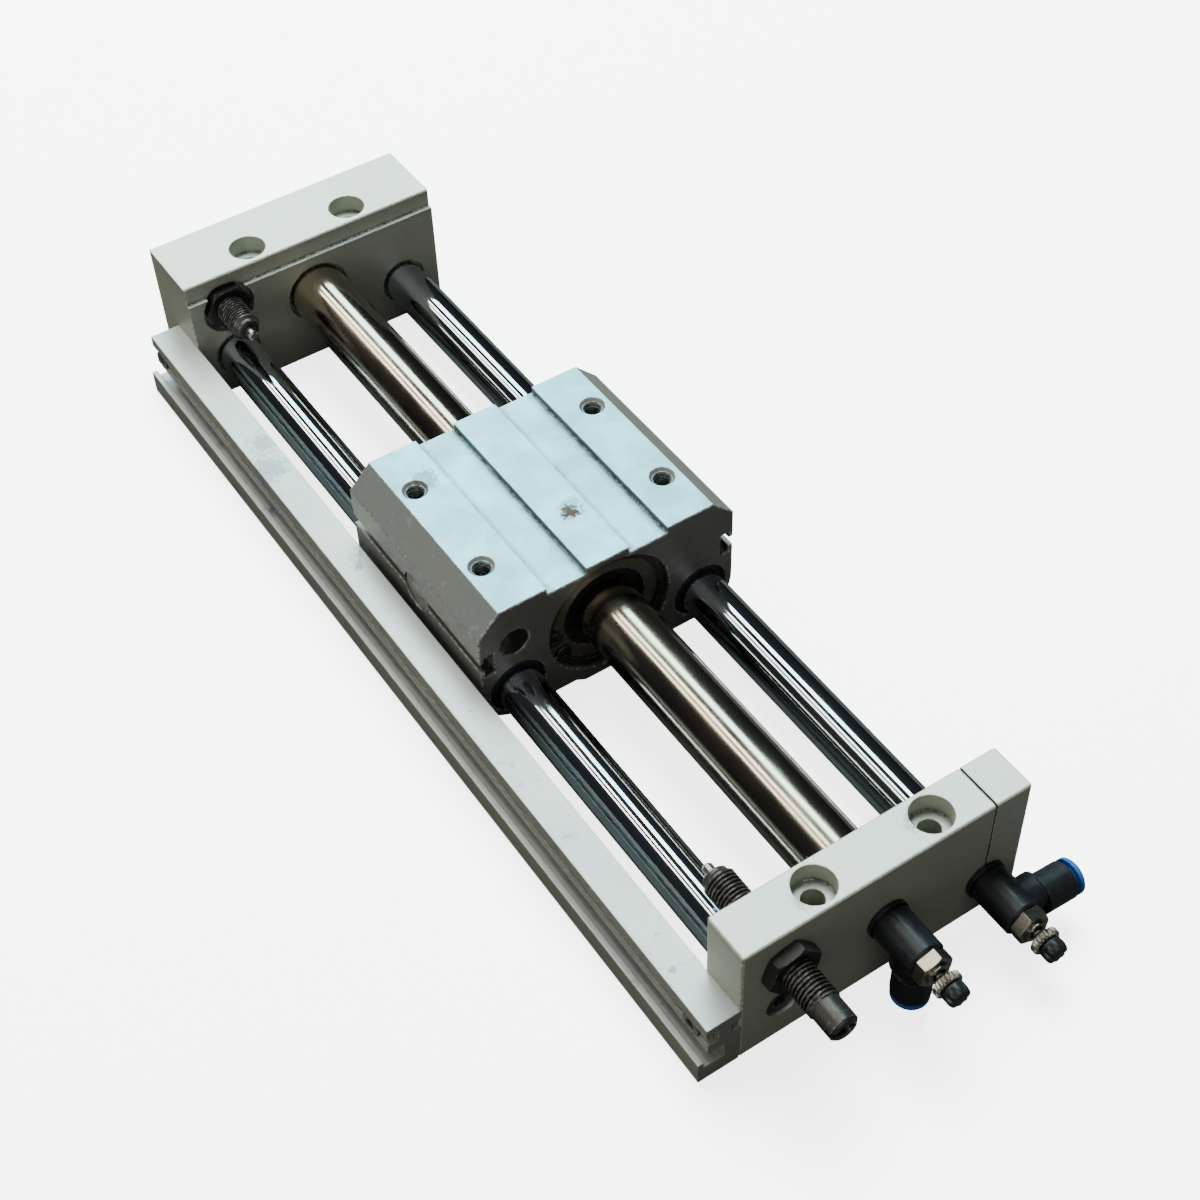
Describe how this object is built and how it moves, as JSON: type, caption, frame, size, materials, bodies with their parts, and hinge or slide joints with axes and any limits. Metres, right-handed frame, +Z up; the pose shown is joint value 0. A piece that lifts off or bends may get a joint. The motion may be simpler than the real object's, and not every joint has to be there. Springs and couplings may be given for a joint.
{
  "type": "magnetic rodless cylinder",
  "caption": "Magnetically coupled rodless air cylinder: a piston in a thin tube drags a slide block on guide rods between end plates with shock absorbers, fittings and a switch rail.",
  "frame": {"origin": "centre of the four plate mounting holes, on the underside of the end plates", "axes": "+X along the tube towards the port end plate, +Y across, away from the switch rail, +Z up out of the plates' undersides"},
  "size_m": [0.3099, 0.0953, 0.0407],
  "materials": {
    "plate_aluminium": "milled, bead blasted",
    "block_aluminium": "milled",
    "stainless_tube": "polished",
    "chromed_rod": "hard chrome",
    "clear_anodised_rail": "clear anodised",
    "screw_steel": "zinc plated",
    "seal_rubber": "matte",
    "shock_steel": "oiled",
    "blackened_steel": "black oxide",
    "nickel_brass": "nickel plated",
    "pin_steel": "ground",
    "magnet": "nickel plated",
    "yoke_steel": "zinc plated",
    "wear_ring_plastic": "moulded",
    "spacer_aluminium": "chromated",
    "spring_steel": "phosphated",
    "bush_bronze": "bored",
    "pad_steel": "hardened",
    "holder_plastic": "moulded",
    "fitting_plastic": "moulded",
    "ring_blue_plastic": "moulded"
  },
  "bodies": {
    "frame": {"port_end_plate": "plate_aluminium", "far_end_plate": "plate_aluminium", "cylinder_tube": "stainless_tube", "left_guide_rod": "chromed_rod", "right_guide_rod": "chromed_rod", "switch_rail": "clear_anodised_rail", "rail_screws": "screw_steel", "rod_end_screws": "screw_steel", "clamp_screw": "screw_steel", "passage_plug": "screw_steel", "tube_gaskets": "seal_rubber", "rod_gaskets": "seal_rubber", "tube_port_washer": "seal_rubber", "rod_port_washer": "seal_rubber", "port_shock_body": "shock_steel", "far_shock_body": "shock_steel", "port_shock_nut": "blackened_steel", "far_shock_nut": "blackened_steel", "tube_port_stem": "nickel_brass", "rod_port_stem": "nickel_brass"},
    "port_shock_plunger": {"port_shock_pin": "pin_steel"},
    "far_shock_plunger": {"far_shock_pin": "pin_steel"},
    "carriage": {"slide_block": "block_aluminium", "outer_magnets": "magnet", "switch_magnet": "magnet", "outer_yokes": "yoke_steel", "outer_wear_rings": "wear_ring_plastic", "tube_scrapers": "seal_rubber", "rod_scrapers": "seal_rubber", "carriage_spacers": "spacer_aluminium", "snap_rings": "spring_steel", "left_guide_bushes": "bush_bronze", "right_guide_bushes": "bush_bronze", "stop_pads": "pad_steel", "magnet_holder": "holder_plastic"},
    "piston": {"inner_yokes": "yoke_steel", "piston_shaft": "yoke_steel", "inner_magnets": "magnet", "pistons": "spacer_aluminium", "piston_seals": "seal_rubber", "piston_bumpers": "seal_rubber", "piston_nuts": "screw_steel"},
    "tube_port_elbow": {"tube_port_elbow": "fitting_plastic", "tube_port_collet": "seal_rubber"},
    "tube_port_release_ring": {"tube_port_release_ring": "ring_blue_plastic"},
    "tube_port_needle": {"tube_port_needle": "nickel_brass", "tube_port_knob": "fitting_plastic"},
    "tube_port_locknut": {"tube_port_locknut": "nickel_brass"},
    "rod_port_elbow": {"rod_port_elbow": "fitting_plastic", "rod_port_collet": "seal_rubber"},
    "rod_port_release_ring": {"rod_port_release_ring": "ring_blue_plastic"},
    "rod_port_needle": {"rod_port_needle": "nickel_brass", "rod_port_knob": "fitting_plastic"},
    "rod_port_locknut": {"rod_port_locknut": "nickel_brass"}
  },
  "joints": [
    {"name": "carriage_slide", "type": "slide", "parent": "frame", "child": "carriage", "axis": [1, 0, 0], "range_m": [-0.0728, 0.0772]},
    {"name": "piston_slide", "type": "slide", "parent": "frame", "child": "piston", "axis": [1, 0, 0], "range_m": [-0.0728, 0.0772]},
    {"name": "port_shock_stroke", "type": "slide", "parent": "frame", "child": "port_shock_plunger", "axis": [1, 0, 0], "range_m": [0, 0.003], "stiffness_N_per_m": 1000, "springref_m": -0.003},
    {"name": "far_shock_stroke", "type": "slide", "parent": "frame", "child": "far_shock_plunger", "axis": [-1, 0, 0], "range_m": [0, 0.003], "stiffness_N_per_m": 1000, "springref_m": -0.003},
    {"name": "tube_port_swivel", "type": "hinge", "parent": "frame", "child": "tube_port_elbow", "pos_m": [0.14472, 0, 0.0212], "axis": [1, 0, 0], "continuous": true},
    {"name": "tube_port_release", "type": "slide", "parent": "tube_port_elbow", "child": "tube_port_release_ring", "axis": [0, 0, 1], "range_m": [0, 0.0008], "stiffness_N_per_m": 500, "springref_m": -0.001},
    {"name": "tube_port_needle_turn", "type": "hinge", "parent": "frame", "child": "tube_port_needle", "pos_m": [0.15452, 0, 0.0212], "axis": [1, 0, 0], "range_deg": [-1800, 1800]},
    {"name": "tube_port_locknut_turn", "type": "hinge", "parent": "tube_port_needle", "child": "tube_port_locknut", "pos_m": [0.15452, 0, 0.0212], "axis": [1, 0, 0], "range_deg": [-360, 360]},
    {"name": "rod_port_swivel", "type": "hinge", "parent": "frame", "child": "rod_port_elbow", "pos_m": [0.14472, 0.0285, 0.0123], "axis": [1, 0, 0], "range_deg": [-22, 94]},
    {"name": "rod_port_release", "type": "slide", "parent": "rod_port_elbow", "child": "rod_port_release_ring", "axis": [0, -0.9969, 0.0785], "range_m": [0, 0.0008], "stiffness_N_per_m": 500, "springref_m": -0.001},
    {"name": "rod_port_needle_turn", "type": "hinge", "parent": "frame", "child": "rod_port_needle", "pos_m": [0.15452, 0.0285, 0.0123], "axis": [1, 0, 0], "range_deg": [-1800, 1800]},
    {"name": "rod_port_locknut_turn", "type": "hinge", "parent": "rod_port_needle", "child": "rod_port_locknut", "pos_m": [0.15452, 0.0285, 0.0123], "axis": [1, 0, 0], "range_deg": [-360, 360]}
  ],
  "couplings": [
    {"joint": "piston_slide", "follows": "carriage_slide", "ratio": 1}
  ]
}
